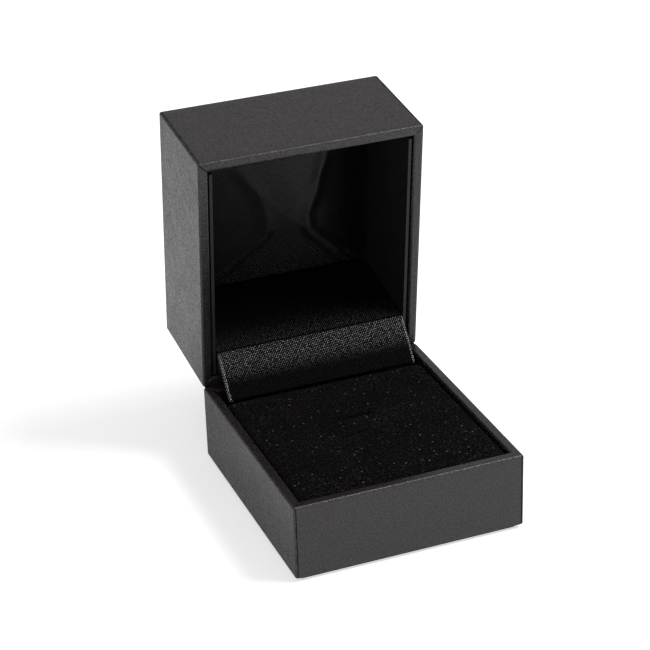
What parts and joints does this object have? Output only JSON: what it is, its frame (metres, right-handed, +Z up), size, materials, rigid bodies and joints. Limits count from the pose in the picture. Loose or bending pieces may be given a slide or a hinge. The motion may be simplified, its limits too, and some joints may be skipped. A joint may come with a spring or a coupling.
{
  "type": "small hinged presentation box",
  "caption": "Small square presentation box for a pin, with a wrapped board base, a slit velvet pad, a satin-lined hinged lid and a flap over the hinge.",
  "frame": {"origin": "middle of the underside of the base, on the surface the box stands on", "axes": "+X to the right seen from the front, +Y from the front towards the hinge, +Z up"},
  "size_m": [0.05, 0.0795, 0.0738],
  "materials": {
    "greyboard": "grey pressed board",
    "leatherette": "matte fine-grained paper",
    "black_card": "smooth matte card",
    "velvet": "flocked pile",
    "satin": "woven satin",
    "foam": "soft open foam",
    "hinge_steel": "bent sheet steel"
  },
  "bodies": {
    "base": {"base_board": "greyboard", "base_wrap": "leatherette", "bottom_card": "black_card", "pad_card": "black_card", "pad_foam": "foam", "pad_velvet": "velvet", "pad_spacer": "black_card", "hinge_base_leaf": "hinge_steel", "hinge_pin": "hinge_steel"},
    "lid": {"lid_board": "greyboard", "lid_wrap": "leatherette", "lid_liner_left": "black_card", "lid_liner_right": "black_card", "lid_liner_front": "black_card", "lid_panel_card": "black_card", "lid_panel_foam": "foam", "lid_panel_satin": "satin", "rear_panel_card": "black_card", "rear_panel_satin": "satin", "hinge_lid_leaf": "hinge_steel"},
    "flap": {"flap_card": "black_card", "flap_satin": "satin"}
  },
  "joints": [
    {"name": "lid_hinge", "type": "hinge", "parent": "base", "child": "lid", "pos_m": [0, 0.0271, 0.01725], "axis": [1, 0, 0], "range_deg": [0, 84]},
    {"name": "flap_crease", "type": "hinge", "parent": "lid", "child": "flap", "pos_m": [0, 0.02642, 0.02512], "axis": [1, 0, 0], "range_deg": [-25, 0]}
  ],
  "couplings": [
    {"joint": "flap_crease", "follows": "lid_hinge", "ratio": -0.2976}
  ]
}
